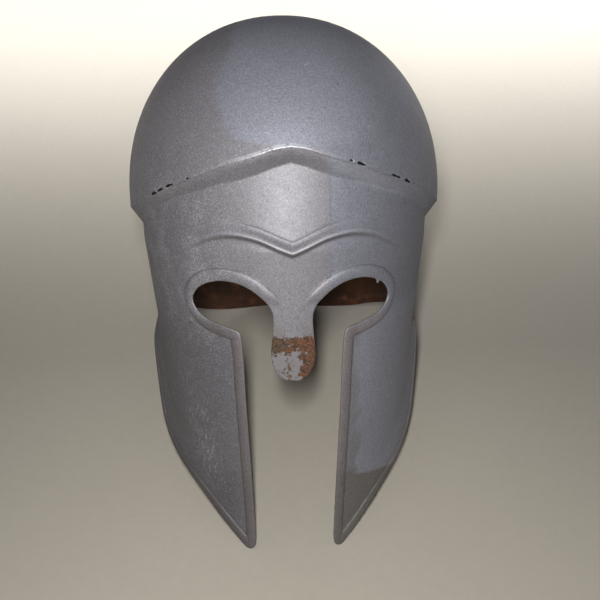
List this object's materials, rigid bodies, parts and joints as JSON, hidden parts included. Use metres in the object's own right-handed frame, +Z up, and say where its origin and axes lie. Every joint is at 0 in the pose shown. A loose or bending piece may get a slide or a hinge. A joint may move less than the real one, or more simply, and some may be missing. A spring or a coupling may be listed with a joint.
{
  "type": "knight helmet",
  "caption": "Corinthian-pattern steel helmet: a bowl welded to a face plate with eye openings, nasal and long cheek guards, and a neck guard, on a leather suspension liner.",
  "frame": {"origin": "on the surface that the helmet stands on, under the middle of its bounding box", "axes": "+Z up, -Y the way the face looks, +X to the right of a person who looks at the face. At rest the helmet leans back 20 degrees, on its cheek-guard tips and its neck rim."},
  "size_m": [0.222, 0.328, 0.3041],
  "materials": {
    "grey_primer": "matt to satin grey primer with fine overspray",
    "weld": "ground weld under the same primer",
    "leather": "oiled vegetable-tanned leather, matt",
    "clip_steel": "bare mild steel with a brown rust bloom",
    "rivet_steel": "bare steel, lightly tarnished"
  },
  "bodies": {
    "root": {"skull_dome": "grey_primer", "face_plate": "grey_primer", "neck_guard": "grey_primer", "seam_weld_front": "weld", "seam_weld_rear": "weld", "side_weld_left": "weld", "side_weld_right": "weld", "headband": "leather", "crown_disc": "leather", "tongue_1": "leather", "tongue_2": "leather", "tongue_3": "leather", "tongue_4": "leather", "tongue_5": "leather", "tongue_6": "leather", "liner_clip_1": "clip_steel", "liner_clip_2": "clip_steel", "liner_clip_3": "clip_steel", "liner_clip_4": "clip_steel", "liner_clip_5": "clip_steel", "liner_clip_6": "clip_steel", "rivet_1": "rivet_steel", "rivet_2": "rivet_steel", "rivet_3": "rivet_steel", "rivet_4": "rivet_steel", "rivet_5": "rivet_steel", "rivet_6": "rivet_steel", "washer_1": "rivet_steel", "washer_2": "rivet_steel", "washer_3": "rivet_steel", "washer_4": "rivet_steel", "washer_5": "rivet_steel", "washer_6": "rivet_steel", "crown_rivet_1": "rivet_steel", "crown_rivet_2": "rivet_steel", "crown_rivet_3": "rivet_steel", "crown_rivet_4": "rivet_steel", "crown_rivet_5": "rivet_steel", "crown_rivet_6": "rivet_steel", "crown_washer_1": "rivet_steel", "crown_washer_2": "rivet_steel", "crown_washer_3": "rivet_steel", "crown_washer_4": "rivet_steel", "crown_washer_5": "rivet_steel", "crown_washer_6": "rivet_steel"}
  },
  "joints": []
}
